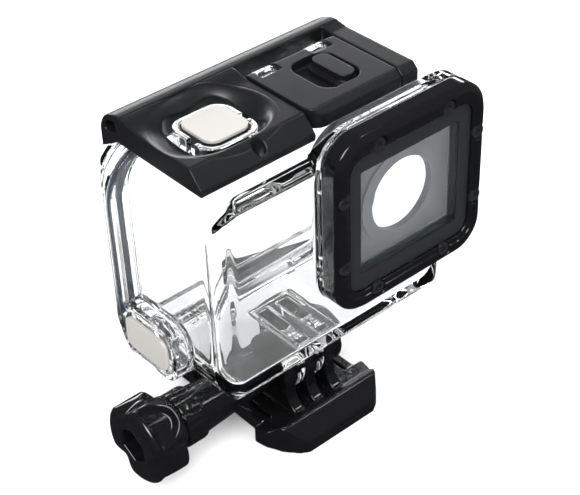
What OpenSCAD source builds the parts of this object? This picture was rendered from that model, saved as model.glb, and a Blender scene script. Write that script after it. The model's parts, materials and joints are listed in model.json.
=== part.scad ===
// Clear waterproof housing for an action camera, with a latch, two push buttons
// and a quick-release buckle. The origin is on the flat underside of the buckle,
// straight below the tilt axis. X runs along the tilt axis, -Y is the lens side.

/* [Camera bay] */
// Width of the camera that the bay takes
cam_w = 62.3; // [50:0.1:75]
// Height of the camera
cam_h = 44.9; // [38:0.1:54]
// Depth of the camera's body without its lens
cam_d = 28.7; // [24:0.1:34]
// Free space all round the camera
cam_gap = 0.4; // [0.2:0.05:0.8]

/* [Clear shell] */
// Thickness of the side and front walls
wall = 2.6; // [2:0.1:3.2]
// Thickness of the floor
floor_t = 3.5; // [2.8:0.1:4]
// Thickness of the roof, which holds the shutter button
roof_t = 4.9; // [4.6:0.1:6]
// Corner radius of the shell, seen from the front
shell_r = 8; // [5:0.5:10]
// Edge radius round the front face
front_edge_r = 4.8; // [3.2:0.1:6]
// Edge radius along the bottom and top of the front face
floor_edge_r = 3; // [2.8:0.1:4]
// How far the rear flange stands out past the side walls
flange_out = 5.2; // [4.6:0.1:7]
// Thickness of the rear flange
flange_t = 2.7; // [2.2:0.1:3.5]
// How far the flange stands out past the floor and the roof
flange_lip = 1.2; // [0.8:0.1:1.6]
// Offset of the bay's middle from the middle of the tilt joint
bay_x = 3.4; // [0:0.1:6]

/* [Rear door] */
// Thickness of the door's rim
door_t = 4.85; // [4.2:0.05:6]
// How far the door's sides stand back from the flange's
door_in = 1.4; // [0.8:0.1:2]
// Thickness of the door's window
door_window_t = 2.75; // [2:0.05:3.5]
// Gap between the closed door and the flange
door_gap = 0.15; // [0.1:0.01:0.25]
// Slope of the ramp that the hook pulls down on, from the horizontal
ramp_deg = 30; // [24:1:32]
// Radius of the hinge pin
hinge_pin_r = 1; // [0.8:0.05:1.2]
// Radius of the hinge knuckles
knuckle_r = 2.6; // [2.4:0.05:2.8]
// Length of the hinge pin
hinge_len = 44; // [36:1:54]

/* [Lens port] */
// Distance of the lens axis from the right wall of the bay
lens_in_x = 15.9; // [14:0.1:18]
// Distance of the lens axis from the roof of the bay
lens_in_z = 12.4; // [11:0.1:16]
// Outer width and height of the bezel
bezel_w = 45.4; // [44:0.1:48]
// Corner radius of the bezel
bezel_r = 8.5; // [6:0.1:10]
// Thickness of the bezel
bezel_t = 5.5; // [4.8:0.1:7]
// Width of the opening in the bezel
window_w = 37.1; // [35:0.1:38]
// Height of the opening in the bezel
window_h = 35.6; // [34:0.1:36.4]
// Thickness of the port's collar, behind the bezel
collar_t = 2.5; // [2.4:0.1:4]
// Thickness of the flat glass
glass_t = 3; // [2:0.1:3.4]
// Width of the clear view through the gasket behind the glass
view_w = 29.2; // [24:0.1:31]
// Height of the clear view
view_h = 26.6; // [22:0.1:30]
// Radius of the hole in the grey light baffle
baffle_hole_r = 9.1; // [6:0.1:9.6]

/* [Tilt joint and buckle] */
// Height of the tilt axis above the flat base
axis_z = 13.6; // [13:0.1:18]
// Thickness of one prong of the three-prong side
prong_t = 3; // [2.8:0.05:3.2]
// Free width between two prongs
prong_gap = 3.15; // [3:0.05:3.4]
// Radius of a prong's round end
prong_r = 7.4; // [6.5:0.1:8]
// Radius of the hole for the clamping bolt
bolt_hole_r = 2.6; // [2.55:0.01:2.8]
// Half the width of the buckle over its wings
wing_x = 17.3; // [16:0.1:20]
// Height of the sliding base
base_h = 4.6; // [4:0.1:5.2]
// Height of the ridge along the front of the buckle
ridge_h = 7.4; // [6:0.1:8]
// Length of the base in front of the tilt axis
base_front = 18.4; // [17:0.1:21]
// Length of the base behind the tilt axis
base_rear = 24; // [20:0.5:30]

/* [Thumb screw] */
// Radius of the knob's head over its three lobes
knob_r = 10; // [9:0.1:12]
// Length of the knob's head
knob_len = 10.6; // [8:0.1:14]
// Distance from the middle of the tilt joint to the knob's outer face
knob_reach = 47.2; // [44:0.1:57]
// Radius of the bolt
bolt_r = 2.4; // [2.2:0.05:2.5]

/* [Latch] */
// Width of the lever plate
lever_w = 25.6; // [21:0.1:28]
// Length of the lever plate from front to back
lever_len = 24; // [21:0.1:26]
// Thickness of the lever plate
lever_t = 4.6; // [4.2:0.1:5.2]
// Gap between the shell's roof and the underside of the lever
lever_lift = 2.5; // [2:0.1:3.5]
// Width of the rail on the right of the lever
rail_w = 4.9; // [4:0.1:7]
// Radius of the latch's pivot pins
latch_pin_r = 0.8; // [0.6:0.05:1]
// Side gap between the lever and the hook frame
latch_gap = 0.3; // [0.2:0.05:0.5]
// How far the lock slider moves
lock_travel = 4; // [2:0.5:4.5]

/* [Buttons] */
// Width of the shutter button's metal cap
shutter_w = 11.5; // [9:0.1:14]
// Length of the shutter button's metal cap, front to back
shutter_l = 11.7; // [10:0.1:13]
// Width of the mode button's metal cap, front to back
mode_w = 15; // [12:0.1:15.5]
// Height of the mode button's metal cap
mode_h = 8.7; // [7:0.1:10]
// Thickness of the metal caps
cap_t = 0.8; // [0.5:0.1:1.2]
// Thickness of the clear guard wall round the shutter button
guard_t = 1.4; // [1:0.1:1.8]
// How far each button travels
press = 1.8; // [1:0.1:2]
// Radius of the buttons' stems
stem_r = 1.8; // [1.5:0.05:2.2]

/* [Fits] */
// Running clearance on the radius of a pin
pin_fit = 0.05; // [0.02:0.01:0.08]
// Gap between pieces that slide past each other
slide_gap = 0.3; // [0.2:0.05:0.4]
// Gap between pieces that seat on each other
seat_gap = 0.05; // [0.02:0.01:0.1]

/* [Hidden] */
$fn = 64;
e = 0.01;

// Camera bay and shell
bay_w = cam_w + 2 * cam_gap;
bay_h = cam_h + 2 * cam_gap;
shell_w = bay_w + 2 * wall;
shell_x0 = bay_x - shell_w / 2;
shell_x1 = bay_x + shell_w / 2;
bay_x0 = shell_x0 + wall;
bay_x1 = shell_x1 - wall;
floor_gap = 2.4;
shell_z0 = axis_z + prong_r + floor_gap;
bay_z0 = shell_z0 + floor_t;
bay_z1 = bay_z0 + bay_h;
shell_z1 = bay_z1 + roof_t;
shell_y0 = -14.6;
bay_y0 = shell_y0 + wall;
bay_edge_r = 1.2;
part_y = bay_y0 + cam_d + 2 * cam_gap;
flange_y0 = part_y - flange_t;
flange_w = shell_w + 2 * flange_out;
flange_z0 = shell_z0 - flange_lip;
flange_z1 = shell_z1 + flange_lip - 0.2;
flange_r = shell_r + 4.5;
flange_z = (flange_z0 + flange_z1) / 2;

// Rear door and its hinge
door_y0 = part_y + door_gap;
door_y1 = door_y0 + door_t;
door_z0 = flange_z0 + 0.8;
door_z1 = flange_z1 - 0.3;
door_w = flange_w - 2 * door_in;
hinge_y = part_y + 2.3;
hinge_z = door_z0 - knuckle_r - 0.35;
hinge_x = 1.5;
knuckle_w = 8;
knuckle_pad = 1.6;
gasket_in = 2.6;
gasket_w = 1.4;
gasket_h = 1.5;
gasket_y0 = part_y - 0.45;
gasket_room = 0.2;
door_bevel_x = 2.2;
door_bevel_y = 2.6;
door_bevel_z = 1.4;
door_frame_w = 6;
hook_gap = 0.16;

// Lens port
lens_x = bay_x1 - lens_in_x;
lens_z = bay_z1 - lens_in_z;
collar_y = shell_y0 + 0.7 - collar_t;
bezel_y1 = collar_y - seat_gap;
bezel_y0 = bezel_y1 - bezel_t;
collar_w = bezel_w - 0.2;
port_open_w = view_w + 1.8;
port_open_h = view_h + 4;
glass_set = 1.5;
glass_y0 = bezel_y0 + glass_set;
glass_y1 = glass_y0 + glass_t;
glass_w = window_w + 0.7;
glass_h = window_h + 0.7;
glass_r = 4.2;
baffle_set = 0.6;
baffle_t = 1.2;
baffle_rim_w = 3;
baffle_rim_h = 0.5;
screw_r = 0.8;
bezel_step = 0.6;
bezel_step_w = 1.2;
screw_head_r = 1.7;
screw_head_t = 0.8;
screw_sink = 0.5;
screw_socket = 0.5;
screw_len = 5.2;
screw_span_x = [window_w / 2 + 1.65, 8.7];
screw_span_z = [10.4, window_h / 2 + 1.3];
screws = [for (sx = [-1, 1], sz = [-1, 1]) each [
    [sx * screw_span_x[0], sz * screw_span_x[1]],
    [sx * screw_span_z[0], sz * screw_span_z[1]]]];

// Tilt joint
prong_pitch = prong_t + prong_gap;
stack_x = prong_pitch + prong_t / 2;
finger_t = prong_gap - 0.25;
boss_t = 3.1;
nut_af = 8;
nut_t = 2.8;
base_x = 11.8;
arm_x = 15;
arm_t = 2.4;

// Thumb screw
head_x1 = -knob_reach + knob_len;
sleeve_x1 = -stack_x - 0.6;
collar_x1 = head_x1 + 6.6;
collar_r = 6.8;
sleeve_r0 = 6;
sleeve_r1 = 4.6;
lobe_r = 6.6;
lobe_deg = 34;
hub_r = 7.2;
socket_r = 4.6;
socket_deep = 6;
scoop_r = 7.5;
scoop_deep = 1.8;

// Latch
lever_z0 = shell_z1 + lever_lift;
lever_z1 = lever_z0 + lever_t;
lever_x0 = 1.1;
lever_r = 4;
lever_x1 = lever_x0 + lever_w;
lever_y1 = 14.5;
lever_y0 = lever_y1 - lever_len;
p1_y = lever_y1 - 2.2;
p1_z = lever_z0 + 1.6;
p2_y = lever_y0 + 5;
p2_z = lever_z0 + 1.4;
lug_r = 2.6;
lug_w = 5.2;
lug_x = [lever_x0 + 2.3, lever_x1 - 3 - lug_w];
slot_x0 = lever_x0 + 8.4;
slot_w = 11.4;
slot_y0 = lever_y0 + 4.9;
slot_l = lock_travel + 10;
slot_d = 2.3;
slider_w = 5.2;
slider_l = 11.4;
bar_y1 = door_y1 + 1.6;
bar_y0 = bar_y1 - 7.6;
bar_z1 = lever_z1 + 0.7;
bar_r = 2.6;
hook_z0 = door_z1 - 3.4;
frame_x0 = shell_x0 + 0.6;
frame_x1 = lever_x1 + latch_gap + rail_w;
frame_y0 = lever_y0 - 1;
plate_z0 = shell_z1 + 1.2;
plate_z1 = lever_z1 - 0.4;
dish_z = lever_z1 - 3.5;
drain_r = 1.5;
frame_corner_r = 7;
end_hollow = 3;
end_wall = 1.8;

// Buttons
shutter_x = -14.9;
shutter_y = lever_y1 - 10.7;
guard_gap = 0.45;
guard_w = shutter_w + 2 * (guard_gap + guard_t);
guard_l = shutter_l + 2 * (guard_gap + guard_t);
guard_r = 4.2;
guard_z1 = lever_z1 - 1.8;
guard_notch = 2.4;
hole_front = 1.4;
hole_back = 2.1;
cup_z1 = lever_z1 - 1.9;
cup_h = 3.2;
foot_z = bay_z1 + 0.3;
mode_y = part_y - 10.6;
mode_z = shell_z0 + 9.7;
boss_out = 4.8;
boss_rim = 2.6;
boss_x = shell_x0 - boss_out;
mode_face = boss_x - 0.5;
mode_rim = 0.8;
mode_plate_t = 1.7;
mode_back = mode_face + cap_t + seat_gap;
mode_floor = shell_x0 - 0.2;
turret_r = 3.6;
turret_h = 1.2;
oring_t = 1;
oring_r = stem_r + oring_t + 0.1;
washer_r = 3.5;
washer_t = 0.3;
clip_r = 3.3;
clip_t = 0.6;
clip_room = 1.1;
spring_r = 4.4;
spring_wire = 0.6;

// ---- shared shapes ----

// Rectangle with round corners, centred
module rounded(w, h, r) {
    square([w - 2 * r, h], center = true);
    square([w, h - 2 * r], center = true);
    for (sx = [-1, 1], sy = [-1, 1])
        translate([sx * (w / 2 - r), sy * (h / 2 - r)]) circle(r);
}

// Extrudes an X-Z outline from y0 to y1
module along_y(y0, y1) {
    translate([0, y1, 0]) rotate([90, 0, 0]) linear_extrude(y1 - y0) children();
}

// Extrudes a Y-Z outline from x0 to x1
module along_x(x0, x1) {
    translate([x0, 0, 0]) rotate([90, 0, 90]) linear_extrude(x1 - x0) children();
}

// Cylinder along X about the point y, z
module rod_x(x0, x1, y, z, r) {
    along_x(x0, x1) translate([y, z]) circle(r);
}

// Block that is round at its corners and along its front edges, and open behind
module round_front(x0, x1, y0, y1, z0, z1, corner, edge, low_edge) {
    mx = (x0 + x1) / 2;
    mz = (z0 + z1) / 2;
    spare = 2 * edge;
    intersection() {
        along_y(y0, y1) translate([mx, mz]) rounded(x1 - x0, z1 - z0, corner);
        translate([mx, (y0 + y1 + spare) / 2, z0])
            linear_extrude(z1 - z0) rounded(x1 - x0, y1 - y0 + spare, edge);
        along_x(x0, x1) translate([(y0 + y1 + spare) / 2, mz])
            rounded(y1 - y0 + spare, z1 - z0, low_edge);
    }
}

// Outline of the flange, drawn in by inset all round
module flange_outline(inset) {
    translate([bay_x, flange_z])
        rounded(flange_w - 2 * inset, flange_z1 - flange_z0 - 2 * inset, flange_r - inset);
}

// Outline of the door's gasket, or of its groove with room on both sides
module gasket_outline(room) {
    difference() {
        flange_outline(gasket_in - room);
        flange_outline(gasket_in + gasket_w + room);
    }
}

// ---- tilt joint and buckle ----

module prong_outline() {
    translate([0, axis_z]) circle(prong_r);
    translate([-prong_r, base_h - 1]) square([2 * prong_r, axis_z - base_h + 1]);
    // The foot flares forward into the base
    difference() {
        translate([-prong_r - 3.4, base_h - 1]) square([4, 4.4 + 1]);
        translate([-prong_r - 4.4, base_h + 4.9]) circle(4.4);
    }
}

module buckle_outline() {
    front = [[10.2, -base_front], [12.4, 1.4 - base_front], [14.9, 4.4 - base_front],
        [wing_x - 0.4, 8.6 - base_front], [wing_x, 10.9 - base_front],
        [wing_x, 12 - base_front]];
    n = len(front) - 1;
    polygon(concat(front, [for (i = [n:-1:0]) [-front[i][0], front[i][1]]]));
}

module quick_release_buckle() {
    color("#17181a") difference() {
        union() {
            // Brow: the ridge across the front
            intersection() {
                linear_extrude(ridge_h) buckle_outline();
                along_x(-wing_x, wing_x) polygon([[-base_front, 0], [-base_front, 3.7],
                    [4.2 - base_front, ridge_h], [5.4 - base_front, ridge_h],
                    [8.2 - base_front, base_h], [12 - base_front, base_h],
                    [12 - base_front, 0]]);
            }
            // Sliding base under the prongs
            linear_extrude(base_h) polygon([
                [-base_x, 6 - base_front], [base_x, 6 - base_front],
                [base_x, base_rear - 12], [base_x - 3, base_rear - 7],
                [3 - base_x, base_rear - 7], [-base_x, base_rear - 12]]);
            // Spring arms with their finger tabs
            for (side = [0, 1]) mirror([side, 0, 0]) {
                translate([arm_x - arm_t, 9 - base_front, 0.3])
                    cube([arm_t, base_rear + base_front - 10, base_h - 0.5]);
                translate([arm_x - arm_t - 0.6, base_rear - 6, 0])
                    cube([arm_t + 1.8, 6, base_h + 2.4]);
            }
            for (i = [-1, 0, 1]) {
                along_x(i * prong_pitch - prong_t / 2, i * prong_pitch + prong_t / 2)
                    prong_outline();
            }
            // Round boss that holds the nut
            rod_x(stack_x - e, stack_x + boss_t, 0, axis_z, prong_r - 0.6);
        }
        rod_x(-stack_x - 1, stack_x + boss_t + 1, 0, axis_z, bolt_hole_r);
        // Pocket for the nut
        along_x(stack_x + boss_t - nut_t - 0.1, stack_x + boss_t + 1)
            translate([0, axis_z]) rotate(30)
                circle((nut_af / 2 + 0.05) / cos(30), $fn = 6);
    }
}

module captive_nut() {
    color("#b9a06a") difference() {
        along_x(stack_x + boss_t - nut_t, stack_x + boss_t)
            translate([0, axis_z]) rotate(30) circle(nut_af / 2 / cos(30), $fn = 6);
        rod_x(stack_x, stack_x + boss_t + 1, 0, axis_z, bolt_r + pin_fit);
    }
}

// ---- thumb screw ----

module thumb_knob() {
    color("#17181a") translate([0, 0, axis_z]) difference() {
        union() {
            // Head: three lobes round a hub, bevelled at both ends
            intersection() {
                along_x(-knob_reach, head_x1) {
                    circle(hub_r);
                    for (i = [0:2]) rotate(90 + lobe_deg + i * 120)
                        translate([knob_r - lobe_r, 0]) circle(lobe_r);
                }
                rotate([0, 90, 0]) rotate_extrude() polygon([[0, -knob_reach],
                    [knob_r - 2, -knob_reach], [knob_r, 2 - knob_reach],
                    [knob_r, head_x1 - 3], [knob_r - 2.4, head_x1], [0, head_x1]]);
            }
            // Collar and tapering sleeve
            rotate([0, 90, 0]) rotate_extrude() polygon([[0, head_x1 - 1],
                [collar_r, head_x1 - 1], [collar_r, collar_x1 - 0.6],
                [collar_r - 0.6, collar_x1], [sleeve_r0, collar_x1],
                [sleeve_r1, sleeve_x1], [0, sleeve_x1]]);
        }
        // A finger scoop in each lobe
        for (i = [0:2]) rotate([lobe_deg + i * 120, 0, 0])
            translate([(head_x1 - knob_reach) / 2, 0, knob_r - scoop_deep + scoop_r])
                sphere(scoop_r);
        // Grooves round the collar
        for (i = [0:11]) rotate([15 + i * 30, 0, 0])
            translate([head_x1 + 0.8, -0.8, collar_r - 0.4])
                cube([collar_x1 - head_x1 - 2, 1.6, 1]);
        // Hexagonal socket, and the hole for the bolt
        along_x(-knob_reach - 1, socket_deep - knob_reach) rotate(15)
            circle(socket_r, $fn = 6);
        rod_x(socket_deep - knob_reach - 1, sleeve_x1 + 1, 0, 0, bolt_r + pin_fit);
    }
}

module thumb_bolt() {
    color("#a9abad")
        rod_x(socket_deep + 0.2 - knob_reach, stack_x + boss_t + 1.2, 0, axis_z, bolt_r);
}

// ---- clear front shell ----

module shell_body() {
    round_front(shell_x0, shell_x1, shell_y0, part_y, shell_z0, shell_z1,
        shell_r, front_edge_r, floor_edge_r);
    // Rear flange
    along_y(flange_y0, part_y) flange_outline(0);
    // Collar that the bezel is screwed to
    along_y(collar_y, shell_y0 + wall) translate([lens_x, lens_z])
        rounded(collar_w, collar_w, bezel_r - 0.1);
    // Socket round the mode button
    along_x(boss_x, shell_x0 + 1) translate([mode_y, mode_z])
        rounded(mode_w + 2 * boss_rim, mode_h + 2 * boss_rim, 4.6);
    along_x(boss_x, shell_x0 + 1) translate([mode_y, mode_z - mode_h / 2 - boss_rim])
        square([flange_y0 + e - mode_y, 6]);
}

module latch_lugs() {
    for (x = lug_x) along_x(x, x + lug_w) {
        translate([p1_y, p1_z]) circle(lug_r);
        translate([p1_y - lug_r, shell_z1 - 1])
            square([2 * lug_r, p1_z - shell_z1 + 1]);
    }
}

// Wall round the shutter button, with a notch in each side for water to drain
module shutter_guard() {
    translate([shutter_x, shutter_y, shell_z1 - 1]) difference() {
        linear_extrude(guard_z1 - shell_z1 + 1) rounded(guard_w, guard_l, guard_r);
        translate([0, 0, 1]) linear_extrude(guard_z1 - shell_z1 + 1)
            rounded(guard_w - 2 * guard_t, guard_l - 2 * guard_t, guard_r - guard_t);
        translate([-guard_w, -guard_notch, 2])
            cube([2 * guard_w, guard_notch, guard_z1]);
    }
}

module shell_knuckles() {
    for (s = [-1, 1]) {
        x = hinge_x + s * (hinge_len / 2 - knuckle_w / 2) - knuckle_w / 2;
        along_x(x, x + knuckle_w) {
            translate([hinge_y, hinge_z]) circle(knuckle_r);
            polygon([[hinge_y, hinge_z - knuckle_r], [hinge_y, hinge_z + knuckle_r - 0.4],
                [part_y, flange_z0 + 0.3], [flange_y0, flange_z0 + 0.3],
                [flange_y0, flange_z0]]);
        }
    }
}

module fingers() {
    for (s = [-1, 1]) {
        x = s * prong_pitch / 2 - finger_t / 2;
        along_x(x, x + finger_t) {
            translate([0, axis_z]) circle(prong_r);
            translate([-prong_r, axis_z]) square([2 * prong_r, shell_z0 + 1 - axis_z]);
        }
    }
    // Pad that the fingers grow from
    translate([-prong_pitch, -prong_r - 1, shell_z0 - 1])
        cube([2 * prong_pitch, 2 * prong_r + 2, 2]);
}

module front_shell() {
    color("#dfe8ec", 0.45) difference() {
        union() {
            shell_body();
            latch_lugs();
            shutter_guard();
            shell_knuckles();
            fingers();
        }
        // Camera bay
        round_front(bay_x0, bay_x1, bay_y0, part_y + 1, bay_z0, bay_z1,
            shell_r - wall, front_edge_r - wall, bay_edge_r);
        // Opening behind the lens port
        along_y(collar_y - 1, bay_y0 + 1) translate([lens_x, lens_z])
            rounded(port_open_w, port_open_h, 3);
        // Groove for the door's gasket
        along_y(gasket_y0 - seat_gap, part_y + 1) gasket_outline(gasket_room);
        // Screw holes in the collar
        for (p = screws) along_y(collar_y - 1, collar_y + 2.6)
            translate([lens_x + p[0], lens_z + p[1]]) circle(screw_r + seat_gap);
        // Shutter button: stem hole, seal seat and room for the clip
        translate([shutter_x, shutter_y, 0]) {
            translate([0, 0, bay_z1 - 1])
                cylinder(r = stem_r + 0.1, h = roof_t + 2);
            translate([0, 0, shell_z1 - oring_t - 0.1]) cylinder(r = oring_r, h = 3);
            translate([0, 0, bay_z1 - 1]) cylinder(r = clip_r + 0.5, h = 1 + press + 0.4);
        }
        // Mode button: socket, stem hole and seal seat
        along_x(boss_x - 1, mode_floor) translate([mode_y, mode_z]) difference() {
            rounded(mode_w + 2 * mode_rim + 2 * slide_gap,
                mode_h + 2 * mode_rim + 2 * slide_gap, 3.4);
            circle(turret_r);
        }
        rod_x(boss_x - 1, mode_floor - turret_h, mode_y, mode_z, turret_r + e);
        rod_x(boss_x - 1, bay_x0 + 1, mode_y, mode_z, stem_r + 0.1);
        rod_x(boss_x - 1, mode_floor - turret_h + oring_t + 0.1, mode_y, mode_z, oring_r);
        rod_x(bay_x0 - clip_room, bay_x0 + 1, mode_y, mode_z, clip_r + 0.5);
        // Bores for the tilt bolt, the hinge pin and the latch pin
        rod_x(-stack_x, stack_x, 0, axis_z, bolt_hole_r);
        rod_x(hinge_x - hinge_len, hinge_x + hinge_len, hinge_y, hinge_z,
            hinge_pin_r + pin_fit);
        rod_x(lever_x0, lever_x1, p1_y, p1_z, latch_pin_r + pin_fit);
    }
}

// ---- lens port ----

module light_baffle() {
    y0 = collar_y + baffle_set;
    color("#5d646b") difference() {
        union() {
            along_y(y0, y0 + baffle_t) translate([lens_x, lens_z])
                rounded(port_open_w - 0.3, port_open_h - 0.3, 2.8);
            along_y(y0 - baffle_rim_h, y0 + e) translate([lens_x, lens_z])
                circle(baffle_hole_r + baffle_rim_w);
        }
        along_y(y0 - 1, y0 + 2) translate([lens_x, lens_z]) circle(baffle_hole_r);
    }
}

module lens_gasket() {
    color("#202326") along_y(glass_y1 + seat_gap, bezel_y1) difference() {
        translate([lens_x, lens_z]) rounded(glass_w, glass_h, glass_r);
        translate([lens_x, lens_z]) square([view_w, view_h], center = true);
    }
}

module lens_glass() {
    color("#cfd8dc", 0.4) along_y(glass_y0, glass_y1)
        translate([lens_x, lens_z]) rounded(glass_w, glass_h, glass_r);
}

module lens_bezel() {
    bevel = 1.6;
    color("#17181a") difference() {
        hull() {
            along_y(bezel_y0 + bevel, bezel_y1) translate([lens_x, lens_z])
                rounded(bezel_w, bezel_w, bezel_r);
            along_y(bezel_y0, bezel_y0 + bevel) translate([lens_x, lens_z])
                rounded(bezel_w - 2 * bevel, bezel_w - 2 * bevel, bezel_r - bevel);
        }
        // Window, and the wider seat for the glass behind it
        along_y(bezel_y0 - 1, bezel_y1 + 1) translate([lens_x, lens_z])
            rounded(window_w, window_h, 4);
        along_y(glass_y0 - seat_gap, bezel_y1 + 1) translate([lens_x, lens_z])
            rounded(glass_w + 0.1, glass_h + 0.1, glass_r);
        // Low ledge round the window
        along_y(bezel_y0 - 1, bezel_y0 + bezel_step) translate([lens_x, lens_z])
            rounded(window_w + 2 * bezel_step_w, window_h + 2 * bezel_step_w, 5.2);
        for (p = screws) translate([lens_x + p[0], 0, lens_z + p[1]]) {
            along_y(bezel_y0 - 1, bezel_y0 + screw_sink + screw_head_t + 0.05)
                circle(screw_head_r + 0.25);
            along_y(bezel_y0 - 1, bezel_y1 + 1) circle(screw_r + seat_gap);
        }
    }
}

module bezel_screws() {
    y0 = bezel_y0 + screw_sink;
    color("#101112") for (p = screws) translate([lens_x + p[0], 0, lens_z + p[1]])
        difference() {
            union() {
                along_y(y0, y0 + screw_head_t) circle(screw_head_r);
                along_y(y0, y0 + screw_head_t + screw_len) circle(screw_r);
            }
            along_y(y0 - 1, y0 + screw_socket) circle(0.9, $fn = 6);
        }
}

// ---- rear door ----

module door_outline(inset) {
    translate([bay_x, (door_z0 + door_z1) / 2])
        rounded(door_w - 2 * inset, door_z1 - door_z0 - 2 * inset, flange_r - door_in - inset);
}

// The rim, bevelled along its rear edges
module door_rim() {
    x1 = door_w / 2;
    intersection() {
        along_y(door_y0, door_y1) door_outline(0);
        translate([bay_x, 0, door_z0]) linear_extrude(door_z1 - door_z0) polygon([
            [-x1, door_y0], [x1, door_y0], [x1, door_y1 - door_bevel_y],
            [x1 - door_bevel_x, door_y1], [door_bevel_x - x1, door_y1],
            [-x1, door_y1 - door_bevel_y]]);
        along_x(bay_x - x1, bay_x + x1) polygon([[door_y0, door_z0], [door_y0, door_z1],
            [door_y1, door_z1], [door_y1, door_z0 + door_bevel_z],
            [door_y1 - door_bevel_z, door_z0]]);
    }
}

// Half plane above the ramp on the door's top edge, shifted up by gap
module above_ramp(gap) {
    run = 30;
    rise = run * tan(ramp_deg);
    translate([door_y0 + 1, door_z1 + gap / cos(ramp_deg)])
        polygon([[-run, rise], [run, -rise], [run, run]]);
}

module rear_door() {
    color("#dfe8ec", 0.45) difference() {
        union() {
            door_rim();
            // Middle knuckle
            along_x(hinge_x - hinge_len / 2 + knuckle_w + slide_gap,
                hinge_x + hinge_len / 2 - knuckle_w - slide_gap) {
                translate([hinge_y, hinge_z]) circle(knuckle_r);
                polygon([[hinge_y - knuckle_pad, hinge_z],
                    [hinge_y - knuckle_pad, door_z0 + 1],
                    [door_y1 - door_bevel_z, door_z0 + 1], [door_y1 - door_bevel_z, door_z0],
                    [hinge_y + knuckle_r, hinge_z]]);
            }
        }
        // The window is thinner than the rim
        along_y(door_y0 + door_window_t, door_y1 + 1) door_outline(door_frame_w);
        // Groove for the gasket
        along_y(door_y0 - 1, gasket_y0 + gasket_h + seat_gap) gasket_outline(seat_gap);
        along_x(bay_x - flange_w, bay_x + flange_w) above_ramp(0);
        rod_x(hinge_x - hinge_len, hinge_x + hinge_len, hinge_y, hinge_z,
            hinge_pin_r + pin_fit);
    }
}

module door_gasket() {
    color("#2b3138") along_y(gasket_y0, gasket_y0 + gasket_h) gasket_outline(0);
}

module door_hinge_pin() {
    color("#a9abad") rod_x(hinge_x - hinge_len / 2 + 0.2, hinge_x + hinge_len / 2 - 0.2,
        hinge_y, hinge_z, hinge_pin_r);
}

// ---- latch ----

module lever_profile() {
    bevel = 1.6;
    mid = (lever_z0 + lever_z1) / 2;
    polygon([[lever_y0, lever_z0], [lever_y0, lever_z1 - bevel],
        [lever_y0 + bevel, lever_z1], [p1_y, lever_z1],
        [lever_y1 - 0.8, lever_z1 - 0.8], [lever_y1, mid], [lever_y1 - 0.8, lever_z0]]);
}

module latch_lever() {
    color("#2e3033") difference() {
        intersection() {
            along_x(lever_x0, lever_x1) lever_profile();
            // Round front left corner
            translate([0, 0, lever_z0]) linear_extrude(lever_t) union() {
                translate([lever_x0 + lever_r, lever_y0 + lever_r]) circle(lever_r);
                translate([lever_x0 + lever_r, lever_y0])
                    square([lever_w - lever_r, lever_len]);
                translate([lever_x0, lever_y0 + lever_r])
                    square([lever_w, lever_len - lever_r]);
            }
        }
        // Notches round the lugs
        for (x = lug_x) along_x(x - slide_gap, x + lug_w + slide_gap)
            translate([p1_y - lug_r - slide_gap, lever_z0 - 1])
                square([2 * lug_r + 4, lever_t + 2]);
        // Track for the lock slider
        translate([slot_x0 + slot_w / 2, slot_y0 + slot_l / 2, lever_z1 - slot_d])
            linear_extrude(slot_d + 1) rounded(slot_w, slot_l, 3.6);
        rod_x(lever_x0 - 1, lever_x1 + 1, p1_y, p1_z, latch_pin_r + pin_fit);
        rod_x(lever_x0 - 1, lever_x1 + 1, p2_y, p2_z, latch_pin_r + pin_fit);
    }
}

module lever_pivot_pin() {
    color("#a9abad") rod_x(lever_x0 + 1, lever_x1 - 1, p1_y, p1_z, latch_pin_r);
}

module hook_pivot_pin() {
    color("#a9abad") rod_x(lever_x0 - 4, lever_x1 + 4, p2_y, p2_z, latch_pin_r);
}

module lock_slider() {
    x1 = slot_x0 + slot_w - slide_gap;
    my = slot_y0 + slot_l / 2;
    z0 = lever_z1 - slot_d + 0.1;
    color("#26282b") {
        translate([x1 - slider_w / 2 - 0.7, my, z0])
            linear_extrude(1) rounded(slider_w + 1.4, slider_l + 0.8, 2.6);
        translate([x1 - slider_w / 2 - 0.5, my, z0]) linear_extrude(slot_d + 0.3)
            rounded(slider_w - 0.6, slider_l, 2.2);
    }
}

// The bar's hooked section, which reaches over the door
module bar_profile() {
    difference() {
        union() {
            translate([bar_y0, plate_z0])
                square([bar_y1 - bar_y0 - bar_r, bar_z1 - plate_z0]);
            translate([bar_y0, hook_z0])
                square([bar_y1 - bar_y0, bar_z1 - bar_r - hook_z0]);
            translate([bar_y1 - bar_r, bar_z1 - bar_r]) circle(bar_r);
        }
        // Clear of the flange, and parallel to the door's ramp
        translate([bar_y0 - 5, hook_z0 - 5])
            square([part_y + 0.6 - bar_y0 + 5, flange_z1 + 0.4 - hook_z0 + 5]);
        difference() {
            translate([bar_y0 - 5, hook_z0 - 5]) square([30, 12]);
            above_ramp(hook_gap);
        }
        // Room for the lever's back edge
        translate([bar_y0 - 1, lever_z0 - 5]) square([1.2, 20]);
    }
}

// Seen from above, the bar and the rail meet in a round corner
module frame_plan() {
    translate([0, 0, plate_z0 - 10]) linear_extrude(30) {
        translate([frame_x0, lever_y0])
            square([frame_x1 - frame_x0 - frame_corner_r, bar_y1 - lever_y0]);
        translate([frame_x0, lever_y0])
            square([frame_x1 - frame_x0, bar_y1 - lever_y0 - frame_corner_r]);
        translate([frame_x1 - frame_corner_r, bar_y1 - frame_corner_r])
            circle(frame_corner_r);
    }
}

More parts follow.
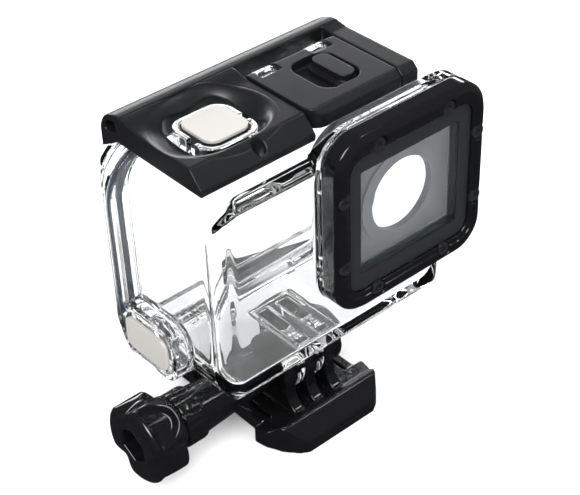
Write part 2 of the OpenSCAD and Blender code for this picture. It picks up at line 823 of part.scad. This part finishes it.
module latch_hook_frame() {
    left_x1 = lever_x0 - latch_gap;
    rail_x0 = lever_x1 + latch_gap;
    bevel = 2.4;
    color("#2e3033") difference() {
        union() {
            intersection() {
                along_x(frame_x0, frame_x1) bar_profile();
                frame_plan();
            }
            // Left plate
            along_x(frame_x0, left_x1) polygon([[frame_y0, plate_z0],
                [frame_y0, plate_z0 + 1.6], [frame_y0 + bevel + 1.2, plate_z1],
                [bar_y0 + 1, plate_z1], [bar_y0 + 1, plate_z0]]);
            // Right rail
            intersection() {
                along_x(rail_x0, frame_x1) polygon([[lever_y0, lever_z0 - 0.5],
                    [lever_y0, lever_z1 - 1.6], [lever_y0 + 1.6, lever_z1],
                    [bar_y0 - 3, lever_z1], [bar_y0 + 1, bar_z1],
                    [bar_y0 + 1, lever_z0 - 0.5]]);
                frame_plan();
            }
        }
        // Dish round the shutter button
        translate([shutter_x, shutter_y, dish_z])
            cylinder(r1 = 9.2, r2 = 14.2, h = plate_z1 - dish_z + 0.01);
        translate([shutter_x, shutter_y + (hole_back - hole_front) / 2, dish_z - 10])
            linear_extrude(20)
                rounded(guard_w + 2.4, guard_l + hole_front + hole_back, 4.6);
        // Hollow in the left end of the bar
        along_x(frame_x0 - 1, frame_x0 + end_hollow)
            translate([(bar_y0 + bar_y1) / 2, (plate_z0 + bar_z1) / 2])
                rounded(bar_y1 - bar_y0 - 2 * end_wall, bar_z1 - plate_z0 - 2 * end_wall, 1);
        // Small drain hole through the front strip
        translate([shutter_x + 1.8, frame_y0 + 2.2, plate_z0 - 1])
            cylinder(r = drain_r, h = 20);
        rod_x(left_x1 - 4, rail_x0 + 4, p2_y, p2_z, latch_pin_r + pin_fit);
    }
}

// ---- shutter button, about the stem axis ----

module shutter_cap() {
    color("#d8d6d0") translate([shutter_x, shutter_y, cup_z1 + seat_gap])
        linear_extrude(cap_t) rounded(shutter_w, shutter_l, 2.8);
}

module shutter_plunger() {
    color("#1d1f21") translate([shutter_x, shutter_y, 0]) {
        difference() {
            translate([0, 0, cup_z1 - cup_h]) linear_extrude(cup_h)
                rounded(shutter_w, shutter_l, 2.8);
            translate([0, 0, cup_z1 - cup_h - 1]) cylinder(r = spring_r + 0.4, h = cup_h);
        }
        difference() {
            translate([0, 0, foot_z]) cylinder(r = stem_r, h = cup_z1 - foot_z - 0.5);
            // Groove for the clip
            translate([0, 0, foot_z + 0.6]) ring(stem_r - 0.5, stem_r + 1, clip_t + 0.1);
        }
    }
}

// Flat ring; also the envelope of a spring that is pressed solid
module ring(r0, r1, h) {
    difference() {
        cylinder(r = r1, h = h);
        translate([0, 0, -1]) cylinder(r = r0, h = h + 2);
    }
}

// Sealing ring round a stem, centred on its own plane
module o_ring() {
    rotate_extrude() translate([stem_r + 0.05 + oring_t / 2, 0]) circle(oring_t / 2);
}

module shutter_spring() {
    h = cup_z1 - 1 - shell_z1 - press - 0.2;
    color("#a9abad") translate([shutter_x, shutter_y, shell_z1 + seat_gap])
        ring(spring_r - spring_wire, spring_r, h);
}

module shutter_washer() {
    color("#a9abad") translate([shutter_x, shutter_y, shell_z1 + seat_gap])
        ring(stem_r + 0.1, washer_r, washer_t);
}

module shutter_o_ring() {
    color("#202326") translate([shutter_x, shutter_y, shell_z1 - oring_t / 2 - 0.05])
        o_ring();
}

module shutter_clip() {
    color("#a9abad") translate([shutter_x, shutter_y, foot_z + 0.65])
        ring(stem_r - 0.45, clip_r, clip_t);
}

// ---- mode button, about its stem axis ----

module at_mode(x) {
    translate([x, mode_y, mode_z]) rotate([0, 90, 0]) children();
}

module mode_cap() {
    color("#d8d6d0") along_x(mode_face, mode_face + cap_t)
        translate([mode_y, mode_z]) rounded(mode_w, mode_h, 2.6);
}

module mode_plunger() {
    color("#dfe8ec", 0.5) {
        difference() {
            along_x(mode_back, mode_back + mode_plate_t) translate([mode_y, mode_z])
                rounded(mode_w + 2 * mode_rim, mode_h + 2 * mode_rim, 3.1);
            rod_x(mode_back + mode_plate_t - 1.1, mode_back + mode_plate_t + 1,
                mode_y, mode_z, spring_r + 0.3);
        }
        difference() {
            rod_x(mode_back, bay_x0 - 0.1, mode_y, mode_z, stem_r);
            at_mode(bay_x0 - clip_room) ring(stem_r - 0.5, stem_r + 1, clip_t + 0.1);
        }
    }
}

module mode_spring() {
    color("#a9abad") at_mode(mode_floor - seat_gap - 1.7)
        ring(spring_r - spring_wire, spring_r, 1.7);
}

module mode_washer() {
    color("#a9abad") at_mode(mode_floor - turret_h - seat_gap - washer_t)
        ring(stem_r + 0.1, washer_r, washer_t);
}

module mode_o_ring() {
    color("#202326") at_mode(mode_floor - turret_h + oring_t / 2 + 0.05) o_ring();
}

module mode_clip() {
    color("#a9abad") at_mode(bay_x0 - clip_room + seat_gap)
        ring(stem_r - 0.45, clip_r, clip_t);
}

quick_release_buckle();
captive_nut();
thumb_knob();
thumb_bolt();
front_shell();
light_baffle();
lens_gasket();
lens_glass();
lens_bezel();
bezel_screws();
rear_door();
door_gasket();
door_hinge_pin();
latch_lever();
lever_pivot_pin();
latch_hook_frame();
hook_pivot_pin();
lock_slider();
shutter_cap();
shutter_plunger();
shutter_spring();
shutter_washer();
shutter_o_ring();
shutter_clip();
mode_cap();
mode_plunger();
mode_spring();
mode_washer();
mode_o_ring();
mode_clip();
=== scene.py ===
"""Looks of a clear waterproof housing for an action camera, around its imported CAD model."""
import json
import math

import bpy
from mathutils import Matrix, Vector


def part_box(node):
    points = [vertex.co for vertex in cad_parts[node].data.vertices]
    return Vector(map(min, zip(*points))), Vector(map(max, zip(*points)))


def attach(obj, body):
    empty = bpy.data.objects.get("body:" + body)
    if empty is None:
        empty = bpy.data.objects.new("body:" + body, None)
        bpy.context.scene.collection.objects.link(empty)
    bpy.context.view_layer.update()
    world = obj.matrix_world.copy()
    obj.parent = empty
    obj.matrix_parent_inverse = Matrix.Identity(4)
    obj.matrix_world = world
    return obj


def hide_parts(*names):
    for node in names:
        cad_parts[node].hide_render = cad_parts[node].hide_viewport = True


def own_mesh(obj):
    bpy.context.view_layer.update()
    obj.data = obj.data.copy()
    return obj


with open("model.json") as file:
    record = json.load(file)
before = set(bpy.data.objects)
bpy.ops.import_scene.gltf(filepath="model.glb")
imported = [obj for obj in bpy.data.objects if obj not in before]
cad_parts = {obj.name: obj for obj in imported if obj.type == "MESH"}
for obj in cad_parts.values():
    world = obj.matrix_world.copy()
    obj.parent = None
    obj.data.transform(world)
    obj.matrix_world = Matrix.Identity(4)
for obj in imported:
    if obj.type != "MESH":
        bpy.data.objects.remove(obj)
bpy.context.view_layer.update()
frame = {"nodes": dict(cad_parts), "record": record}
MM = 0.001
MIX_COLOR_A, MIX_COLOR_B, MIX_COLOR_OUT = 6, 7, 2    # sockets of a Mix node set to RGBA


# ---- camera, floor and light ----

def add_camera():
    """Camera at the height, bearing and roll of the view that the object is shown in."""
    azimuth, elevation, roll = (math.radians(a) for a in (-40.12, 37.31, -2.08))
    distance = 335.04 * MM
    target = Vector((0, -2.5, 45)) * MM
    back = Vector((math.sin(azimuth) * math.cos(elevation),
                   -math.cos(azimuth) * math.cos(elevation), math.sin(elevation)))
    right = Vector((math.cos(azimuth), math.sin(azimuth), 0))
    up = back.cross(right)
    x_axis = right * math.cos(roll) + up * math.sin(roll)
    y_axis = up * math.cos(roll) - right * math.sin(roll)
    data = bpy.data.cameras.new("camera")
    data.sensor_width = 36
    data.lens = 91.56
    data.shift_x = -0.0057
    data.shift_y = 0.0092
    data.clip_start = 0.01
    camera = bpy.data.objects.new("camera", data)
    place = target + back * distance
    camera.matrix_world = Matrix((
        (x_axis.x, y_axis.x, back.x, place.x),
        (x_axis.y, y_axis.y, back.y, place.y),
        (x_axis.z, y_axis.z, back.z, place.z),
        (0, 0, 0, 1)))
    bpy.context.scene.collection.objects.link(camera)
    bpy.context.scene.camera = camera


def sky(tree, low, high):
    """Ramp from a colour below the horizon to one overhead."""
    coordinates = tree.nodes.new("ShaderNodeTexCoord")
    split = tree.nodes.new("ShaderNodeSeparateXYZ")
    shift = tree.nodes.new("ShaderNodeMapRange")
    shift.inputs["From Min"].default_value = -1
    shift.inputs["From Max"].default_value = 1
    ramp = tree.nodes.new("ShaderNodeValToRGB")
    ramp.color_ramp.elements[0].position = 0.3
    ramp.color_ramp.elements[0].color = (*low, 1)
    ramp.color_ramp.elements[1].position = 0.7
    ramp.color_ramp.elements[1].color = (*high, 1)
    tree.links.new(coordinates.outputs["Generated"], split.inputs[0])
    tree.links.new(split.outputs["Z"], shift.inputs["Value"])
    tree.links.new(shift.outputs["Result"], ramp.inputs["Fac"])
    return ramp.outputs["Color"]


def add_world():
    """White room, which gloss reflects as a darker one so that black parts stay black."""
    world = bpy.data.worlds.new("studio")
    world.use_nodes = True
    tree = world.node_tree
    background = tree.nodes["Background"]
    light_path = tree.nodes.new("ShaderNodeLightPath")
    inside = tree.nodes.new("ShaderNodeMapRange")
    inside.inputs["To Min"].default_value = 1
    inside.inputs["To Max"].default_value = 0.55
    darken = tree.nodes.new("ShaderNodeMath")
    darken.operation = "MULTIPLY"
    choose = tree.nodes.new("ShaderNodeMix")
    choose.data_type = "RGBA"
    tree.links.new(light_path.outputs["Transmission Depth"], inside.inputs["Value"])
    tree.links.new(light_path.outputs["Is Glossy Ray"], darken.inputs[0])
    tree.links.new(inside.outputs["Result"], darken.inputs[1])
    tree.links.new(darken.outputs["Value"], choose.inputs["Factor"])
    tree.links.new(sky(tree, (0.75, 0.76, 0.77), (1, 1, 1)), choose.inputs[MIX_COLOR_A])
    tree.links.new(sky(tree, (0.05, 0.05, 0.055), (0.17, 0.175, 0.19)),
                   choose.inputs[MIX_COLOR_B])
    tree.links.new(choose.outputs[MIX_COLOR_OUT], background.inputs["Color"])
    background.inputs["Strength"].default_value = 0.95
    bpy.context.scene.world = world


def add_area(name, place, target, size, power, mirrored=True):
    """Soft box that faces a point; mirrored ones show in gloss."""
    data = bpy.data.lights.new(name, "AREA")
    data.shape = "RECTANGLE"
    data.size, data.size_y = size
    data.energy = power
    light = bpy.data.objects.new(name, data)
    light.location = place
    aim = Vector(target) - Vector(place)
    light.rotation_euler = aim.to_track_quat("-Z", "Y").to_euler()
    light.visible_glossy = mirrored
    bpy.context.scene.collection.objects.link(light)


def add_flag(name, corners):
    """Dark flag by its corners in millimetres, seen only in gloss and through clear plastic."""
    mesh = bpy.data.meshes.new(name)
    mesh.from_pydata([Vector(corner) * MM for corner in corners], [], [(0, 1, 2, 3)])
    mesh.materials.append(plain_material(name, (0.01, 0.01, 0.011), 0.9))
    flag = bpy.data.objects.new(name, mesh)
    flag.visible_camera = False
    flag.visible_shadow = False
    flag.visible_diffuse = False
    bpy.context.scene.collection.objects.link(flag)


def plain_material(name, color, rough):
    """Principled material with one colour and one roughness, for the stage."""
    made = bpy.data.materials.new(name)
    made.use_nodes = True
    shader = made.node_tree.nodes["Principled BSDF"]
    shader.inputs["Base Color"].default_value = (*color, 1)
    shader.inputs["Roughness"].default_value = rough
    return made


def add_floor():
    mesh = bpy.data.meshes.new("floor")
    far = 3
    mesh.from_pydata([(-far, -far, 0), (far, -far, 0), (far, far, 0), (-far, far, 0)],
                     [], [(0, 1, 2, 3)])
    floor = bpy.data.objects.new("floor", mesh)
    mesh.materials.append(plain_material("floor_white", (0.93, 0.93, 0.93), 0.7))
    floor.visible_glossy = False
    bpy.context.scene.collection.objects.link(floor)


# ---- materials ----

def textured(name, color, rough, grain=None, wave=None, rough_spread=0.05, **sockets):
    """Principled material with uneven gloss, and grain and wave as (scale per metre, depth)."""
    made = bpy.data.materials.new(name)
    made.use_nodes = True
    tree = made.node_tree
    shader = tree.nodes["Principled BSDF"]
    shader.inputs["Base Color"].default_value = (*color, 1)
    for socket, value in sockets.items():
        shader.inputs[socket.replace("_", " ")].default_value = value
    place = tree.nodes.new("ShaderNodeTexCoord")
    cloud = tree.nodes.new("ShaderNodeTexNoise")
    cloud.inputs["Scale"].default_value = 160
    cloud.inputs["Detail"].default_value = 4
    spread = tree.nodes.new("ShaderNodeMapRange")
    spread.inputs["To Min"].default_value = max(0.0, rough - rough_spread)
    spread.inputs["To Max"].default_value = rough + rough_spread
    tree.links.new(place.outputs["Object"], cloud.inputs["Vector"])
    tree.links.new(cloud.outputs["Fac"], spread.inputs["Value"])
    tree.links.new(spread.outputs["Result"], shader.inputs["Roughness"])
    normal = None
    for scale, depth in (part for part in (grain, wave) if part):
        noise = tree.nodes.new("ShaderNodeTexNoise")
        noise.inputs["Scale"].default_value = scale
        noise.inputs["Detail"].default_value = 2
        bump = tree.nodes.new("ShaderNodeBump")
        bump.inputs["Strength"].default_value = 1
        bump.inputs["Distance"].default_value = depth
        tree.links.new(place.outputs["Object"], noise.inputs["Vector"])
        tree.links.new(noise.outputs["Fac"], bump.inputs["Height"])
        if normal:
            tree.links.new(normal, bump.inputs["Normal"])
        normal = bump.outputs["Normal"]
    if normal:
        tree.links.new(normal, shader.inputs["Normal"])
    return made


MATERIALS = {
    "gloss_black": textured("gloss_black", (0.004, 0.004, 0.0045), 0.09,
                            wave=(260, 0.00001), rough_spread=0.03),
    "satin_black": textured("satin_black", (0.006, 0.0062, 0.0072), 0.34,
                            grain=(4200, 0.000012), rough_spread=0.05),
    "dark_plastic": textured("dark_plastic", (0.012, 0.012, 0.013), 0.4,
                             grain=(3000, 0.00001)),
    "clear_plastic": textured("clear_plastic", (0.965, 0.98, 0.98), 0.01,
                              wave=(90, 0.00001), rough_spread=0.01,
                              Transmission_Weight=1.0, IOR=1.5),
    "lens_glass": textured("lens_glass", (0.96, 0.98, 0.98), 0.005, rough_spread=0.005,
                           Transmission_Weight=1.0, IOR=1.5),
    "grey_plastic": textured("grey_plastic", (0.1, 0.115, 0.128), 0.5,
                             grain=(3500, 0.00001)),
    "black_rubber": textured("black_rubber", (0.025, 0.028, 0.03), 0.6,
                             grain=(2500, 0.00002)),
    "grey_rubber": textured("grey_rubber", (0.04, 0.055, 0.08), 0.5,
                            grain=(2500, 0.00002)),
    "steel": textured("steel", (0.62, 0.62, 0.62), 0.25, rough_spread=0.08, Metallic=1.0),
    "black_steel": textured("black_steel", (0.03, 0.03, 0.033), 0.2,
                            grain=(3000, 0.00001), Metallic=0.6),
    "satin_silver": textured("satin_silver", (0.57, 0.555, 0.525), 0.36,
                             grain=(5000, 0.000006), Metallic=0.3),
    "brass": textured("brass", (0.62, 0.46, 0.2), 0.3, Metallic=1.0),
}
PAINT = textured("charcoal_paint", (0.014, 0.0155, 0.0175), 0.5, rough_spread=0.03)
SLOTS = {part["node"]: part["material_slot"] for part in frame["record"]["subparts"]}
BODY = {node: body for body, nodes in frame["record"]["behaviour"]["bodies"].items()
        for node in nodes}


# ---- mouldings: CAD shapes with their edges rounded ----

def moulded(node, voxel, rounds, shape=None):
    """Piece with a node's shape and softly rounded edges, which stands for the node."""
    source = frame["nodes"][node]
    work = bpy.data.objects.new(node + "_work", source.data.copy())
    bpy.context.scene.collection.objects.link(work)
    remesh = work.modifiers.new("remesh", "REMESH")
    remesh.mode = "VOXEL"
    remesh.voxel_size = voxel * MM
    remesh.use_smooth_shade = True
    smooth = work.modifiers.new("smooth", "SMOOTH")
    smooth.factor = 0.5
    smooth.iterations = rounds
    bpy.context.view_layer.update()
    graph = bpy.context.evaluated_depsgraph_get()
    mesh = bpy.data.meshes.new_from_object(work.evaluated_get(graph))
    bpy.data.objects.remove(work)
    mesh.name = node + "_moulding"
    if shape:
        for vertex in mesh.vertices:
            vertex.co = Vector(shape(*(vertex.co / MM))) * MM
        mesh.update()
    return dress(mesh, node)


def dress(mesh, node):
    """Makes a mesh a piece with the material of a node's slot and the node's body, and hides the
    node.
    """
    for polygon in mesh.polygons:
        polygon.use_smooth = True
    piece = bpy.data.objects.new(mesh.name, mesh)
    bpy.context.scene.collection.objects.link(piece)
    mesh.materials.clear()
    mesh.materials.append(MATERIALS[SLOTS[node]])
    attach(piece, BODY[node])
    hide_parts(node)
    return piece


def grid_mesh(name, rows, closed=True):
    """Skin over rows of points in millimetres; closed joins the ends of every row."""
    count = len(rows[0])
    points = [Vector(point) * MM for row in rows for point in row]
    last = count if closed else count - 1
    faces = [(r * count + c, r * count + (c + 1) % count,
              (r + 1) * count + (c + 1) % count, (r + 1) * count + c)
             for r in range(len(rows) - 1) for c in range(last)]
    mesh = bpy.data.meshes.new(name)
    mesh.from_pydata(points, [], faces)
    return mesh


def ease(value, low, high):
    """Smooth step from 0 at low to 1 at high."""
    t = min(1, max(0, (value - low) / (high - low)))
    return t * t * (3 - 2 * t)


# ---- latch hook frame: moulded dish and rounded bar ----

BUTTON_X, BUTTON_Y = -14.9, 3.8
PLATE_TOP = 84.2
DISH_FLOOR = 81.1
BEVEL_LOW, BEVEL_Y, BEVEL_RUN = 80.3, -10.5, 3.6    # front bevel: low edge, its y, its length
CONE_REACH, CONE_RUN = 9.2, 5        # where the CAD dish starts to rise, and how far it rises for
BOWL_REACH, BOWL_RIM = 8.2, 13.6     # where the moulded bowl starts to rise, and where it ends
BOWL_STRETCH = 3          # how much longer it is to the left and shorter to the front
COVE_Y = 9.5              # where the plate starts to curve up into the bar
PLATE_BASE = 79.2         # the plate is reshaped above this height
PLATE_RIGHT, PLATE_BACK = 0.7, 16.5
BAR_BASE = 79             # the bar is rounded above this height
BAR_HEIGHT = 6.3
BAR_Y, BAR_RUN = 17.3, 6.95    # where the round starts, and its length
BAR_TOP = 85.28


def bevel_top(y):
    """Height of the plate's front bevel."""
    return BEVEL_LOW + (PLATE_TOP - BEVEL_LOW) * min(1, max(0, (y - BEVEL_Y) / BEVEL_RUN))


def cad_plate_top(x, y):
    """Height of the CAD plate's top with its conical dish and front bevel."""
    reach = math.hypot(x - BUTTON_X, y - BUTTON_Y)
    cone = DISH_FLOOR + (PLATE_TOP - DISH_FLOOR) * min(1, max(0, (reach - CONE_REACH) / CONE_RUN))
    return min(PLATE_TOP, cone, bevel_top(y))


def bowl_top(x, y):
    """Height of the moulded plate: an eased bowl, longest to the left, shortest to the front."""
    dx, dy = x - BUTTON_X, y - BUTTON_Y
    reach = math.hypot(dx, dy)
    rim = BOWL_RIM
    if dx < 0:
        rim += BOWL_STRETCH * (dx / reach) ** 2
    if dy < 0:
        rim -= BOWL_STRETCH * (dy / reach) ** 2
    rise = ease(reach, BOWL_REACH, rim)
    cove = ease(y, COVE_Y, PLATE_BACK) ** 1.5
    return min(DISH_FLOOR + (PLATE_TOP - DISH_FLOOR) * rise, bevel_top(y)) + cove


def hook_shape(x, y, z):
    """Reshapes the hook frame's top: bowl in the plate, then a full round on the bar."""
    if x < PLATE_RIGHT and y < PLATE_BACK and z > PLATE_BASE:
        z = PLATE_BASE + ((z - PLATE_BASE) * (bowl_top(x, y) - PLATE_BASE)
                          / (cad_plate_top(x, y) - PLATE_BASE))
    if y > BAR_Y and z > BAR_BASE:
        round_z = BAR_BASE + BAR_HEIGHT * math.sqrt(max(0, 1 - ((y - BAR_Y) / BAR_RUN) ** 2.3))
        z = BAR_BASE + (z - BAR_BASE) * (round_z - BAR_BASE) / BAR_HEIGHT
    return x, y, min(z, BAR_TOP)


# ---- thumb screw: lofted knob ----

KNOB_Z = 13.6
KNOB_FACE = -47.2         # x of the head's outer face
HEAD_DEPTH = 10.6
LOBE_RADIUS, VALLEY_RADIUS = 9.95, 7.0
SCOOP_SINK = 1.7          # how far the dish in a lobe sinks
SCOOP_START, SCOOP_LENGTH = 1.7, 7.4    # along the depth of the head
SCOOP_RADIUS, SCOOP_HALF = 9, 5.3       # radius that its half width is measured at
FACE_ROUND = 1.5
BACK_ROUND_START, BACK_ROUND_RUN, BACK_ROUND_SINK = 8.6, 2, 2.4
LOBE_ANGLES = (56, 176, 296)


def lobe_offset(degrees):
    """Angle from the nearest lobe's middle, in degrees."""
    return min(((degrees - lobe + 180) % 360 - 180 for lobe in LOBE_ANGLES), key=abs)


def knob_radius(degrees, depth):
    """Radius of the knob's head at an angle and a depth behind its face."""
    off = lobe_offset(degrees)
    swell = ease(abs(off), 58, 30)
    valley = VALLEY_RADIUS + 1.3 * math.sin(math.pi * min(1, depth / HEAD_DEPTH))
    radius = valley + (LOBE_RADIUS - valley) * swell
    # D-shaped dish in the lobe, with its straight side towards the face
    across = math.radians(off) * SCOOP_RADIUS / SCOOP_HALF
    along = (depth - SCOOP_START) / SCOOP_LENGTH
    edge = across * across + max(0, along) ** 2
    inside = ease(edge, 1, 0.62) * ease(along, -0.02, 0.12)
    radius -= SCOOP_SINK * inside
    # Round over at the face and at the back
    radius -= FACE_ROUND * (1 - min(1, depth / FACE_ROUND)) ** 2
    radius -= BACK_ROUND_SINK * max(0, (depth - BACK_ROUND_START) / BACK_ROUND_RUN) ** 2
    return radius


def hexagon_radius(degrees, size):
    """Radius of a hexagon with the given distance from its middle to a corner."""
    return size * math.cos(math.radians(30)) / math.cos(math.radians((degrees + 30) % 60 - 30))


def knob_mesh():
    """Head with three dished lobes and a hexagon socket, then collar and sleeve."""
    angles = [1.5 * step for step in range(240)]

    def row(x, radius):
        return [(x, -radius(a) * math.cos(math.radians(a)),
                 KNOB_Z + radius(a) * math.sin(math.radians(a))) for a in angles]

    def hexagon(size):
        return lambda a: hexagon_radius(a, size)

    rows = [row(KNOB_FACE + 6, lambda a: 0.01), row(KNOB_FACE + 6, hexagon(4.55)),
            row(KNOB_FACE + 5.9, hexagon(4.6)), row(KNOB_FACE + 0.5, hexagon(4.6)),
            row(KNOB_FACE + 0.3, hexagon(4.65)), row(KNOB_FACE + 0.15, hexagon(4.9))]
    for share in (0, 0.15, 0.4, 0.7, 0.9):
        rows.append(row(KNOB_FACE, lambda a, share=share: (1 - share) * hexagon_radius(a, 5.1)
                        + share * (knob_radius(a, 0) - 0.35)))
    for step in range(70):
        depth = HEAD_DEPTH * (step / 69) ** 1.15
        rows.append(row(KNOB_FACE + depth, lambda a, depth=depth: knob_radius(a, depth)))
    collar = [(10.7, 5.9), (10.9, 5.8), (11.3, 6.1), (11.5, 6.6), (11.9, 6.75),
              (16.4, 6.75), (16.9, 6.6), (17.1, 6.2), (17.25, 6.02), (17.5, 5.98)]
    for depth, radius in collar:
        groove = 0.32 if 11.8 < depth < 16.5 else 0
        rows.append(row(KNOB_FACE + depth, lambda a, radius=radius, groove=groove:
                        radius - groove * ease(math.cos(math.radians(15 * a)), 0.2, 0.8)))
    for depth, radius in ((38.6, 4.65), (38.85, 4.5), (38.95, 4.2), (38.95, 2.6)):
        rows.append(row(KNOB_FACE + depth, lambda a, radius=radius: radius))
    mesh = grid_mesh("thumb_knob_loft", rows)
    mesh.flip_normals()
    return mesh


# ---- lens port: painted border on the back of the glass ----

SKIN_GAP = 0.02           # between the glass and a skin beside it
BORDER_INSET = 0.8        # how much smaller the band is than the glass
BORDER_CORNER = 3.8
BORDER_WINDOW = (29.8, 27)
LINING_RIM, LINING_CORNER = (34, 31.6), 2
LINING_WINDOW = (29, 26.4)
TRAY_FACE = 1.1           # from the tray's back to the face that the lining meets
WINDOW_CORNER = 0.4


def rounded_loop(width, height, radius, steps=10):
    """Points round a rectangle with round corners, centred on the origin."""
    corners = ((1, 1, 0), (-1, 1, 90), (-1, -1, 180), (1, -1, 270))
    loop = []
    for sx, sz, start in corners:
        for step in range(steps + 1):
            angle = math.radians(start + 90 * step / steps)
            loop.append((sx * (width / 2 - radius) + radius * math.cos(angle),
                         sz * (height / 2 - radius) + radius * math.sin(angle)))
    return loop


def add_painted_border():
    """Dark band round the clear middle of the lens glass."""
    low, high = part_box("lens_glass")
    middle_x, middle_z = (low.x + high.x) / 2 / MM, (low.z + high.z) / 2 / MM
    width, height = (high.x - low.x) / MM, (high.z - low.z) / MM
    front = low.y / MM - SKIN_GAP
    outer = rounded_loop(width - BORDER_INSET, height - BORDER_INSET, BORDER_CORNER)
    inner = rounded_loop(*BORDER_WINDOW, WINDOW_CORNER)
    rows = [[(middle_x + x, y, middle_z + z) for x, z in loop]
            for y, loop in ((front, outer), (front, inner), (front + 0.01, inner))]
    mesh = grid_mesh("lens_border", rows)
    mesh.materials.append(PAINT)
    border = bpy.data.objects.new("lens_border", mesh)
    bpy.context.scene.collection.objects.link(border)
    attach(border, "housing")


def add_tray_lining():
    """Grey lip that carries the tray's colour forward to the back of the glass."""
    low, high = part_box("light_baffle")
    middle_x, middle_z = (low.x + high.x) / 2 / MM, (low.z + high.z) / 2 / MM
    glass_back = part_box("lens_glass")[1].y / MM + SKIN_GAP
    tray = high.y / MM - TRAY_FACE
    outer = rounded_loop(*LINING_RIM, LINING_CORNER)
    inner = rounded_loop(*LINING_WINDOW, WINDOW_CORNER)
    rows = [[(middle_x + x, y, middle_z + z) for x, z in loop]
            for y, loop in ((glass_back, outer), (glass_back, inner), (tray, inner))]
    mesh = grid_mesh("tray_lining", rows)
    mesh.materials.append(MATERIALS["grey_plastic"])
    lining = bpy.data.objects.new("tray_lining", mesh)
    bpy.context.scene.collection.objects.link(lining)
    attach(lining, "housing")


# ---- springs ----

COIL_STEPS = 28           # rows in one turn
WIRE_SIDES = 10


def coil_mesh(name, radius, wire, length, turns):
    """Coil along Z from 0 to length, with flat ends."""
    rows = []
    count = int(turns * COIL_STEPS)
    rise = length - 2 * wire
    for step in range(count + 1):
        share = step / count
        climb = ease(share, 0.12, 0.88) * 0.5 + 0.5 * min(1, max(0, (share - 0.12) / 0.76))
        angle = 2 * math.pi * turns * share
        out = Vector((math.cos(angle), math.sin(angle), 0))
        middle = out * (radius - wire) + Vector((0, 0, wire + rise * climb))
        rows.append([tuple(middle + out * wire * math.cos(t) + Vector((0, 0, wire * math.sin(t))))
                     for t in (math.radians(360 / WIRE_SIDES * k) for k in range(WIRE_SIDES))])
    return grid_mesh(name, rows)


def add_shutter_spring():
    """Coil under the shutter button, which shortens towards its foot as the button is pressed."""
    mesh = coil_mesh("shutter_coil", 4.4, 0.3, 4.1, 3.2)
    mesh.transform(Matrix.Translation(Vector((BUTTON_X, BUTTON_Y, 77.57)) * MM))
    piece = dress(mesh, "shutter_spring")
    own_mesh(piece)


def add_mode_spring():
    """Coil behind the mode button, which shortens towards its inner end as it is pressed."""
    mesh = coil_mesh("mode_coil", 4.4, 0.25, 3.55, 2.8)
    turn = Matrix.Rotation(math.radians(-90), 4, "Y")
    mesh.transform(Matrix.Translation(Vector((-31.02, 6.9, 33.1)) * MM) @ turn)
    piece = dress(mesh, "mode_spring")
    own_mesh(piece)


# Each rounded node with its voxel in millimetres and its rounds of smoothing
MOULDINGS = {
    "quick_release_buckle": (0.25, 5), "front_shell": (0.35, 4), "rear_door": (0.35, 4),
    "lens_bezel": (0.2, 9), "latch_lever": (0.2, 6), "lock_slider": (0.12, 6),
    "shutter_cap": (0.1, 4), "mode_cap": (0.1, 4), "bezel_screws": (0.08, 2),
}


def use_cad_nodes():
    """Every node that keeps its CAD shape gets its material."""
    for name, node in frame["nodes"].items():
        node.data.materials.clear()
        node.data.materials.append(MATERIALS[SLOTS[name]])


add_camera()
add_world()
add_floor()
add_area("key", (-0.5, -0.35, 0.75), (0, 0, 0.04), (0.5, 0.5), 9)
add_area("fill", (0.6, -0.5, 0.5), (0, 0, 0.04), (0.5, 0.6), 5, mirrored=False)
add_area("back_strip", (0.45, 0.8, 0.26), (0, 0, 0.05), (1, 0.16), 4)
add_area("window", (0.46, -0.3, 0.76), (0, 0, 0.04), (0.1, 0.07), 0.4)
add_flag("wide_flag", [(5, 32, 14), (34, 32, 8), (34, 32, 15.5), (5, 32, 22)])
add_flag("side_flag", [(-7, 32, 10), (2.3, 32, 9), (2.8, 32, 14), (-11.8, 32, 16)])
use_cad_nodes()
for node, (voxel, rounds) in MOULDINGS.items():
    moulded(node, voxel, rounds)
moulded("latch_hook_frame", 0.22, 8, hook_shape)
dress(knob_mesh(), "thumb_knob")
add_painted_border()
add_tray_lining()
add_shutter_spring()
add_mode_spring()

view = bpy.context.scene.view_settings
view.view_transform = "Standard"
bpy.context.scene.cycles.transmission_bounces = 16
bpy.context.scene.cycles.max_bounces = 20
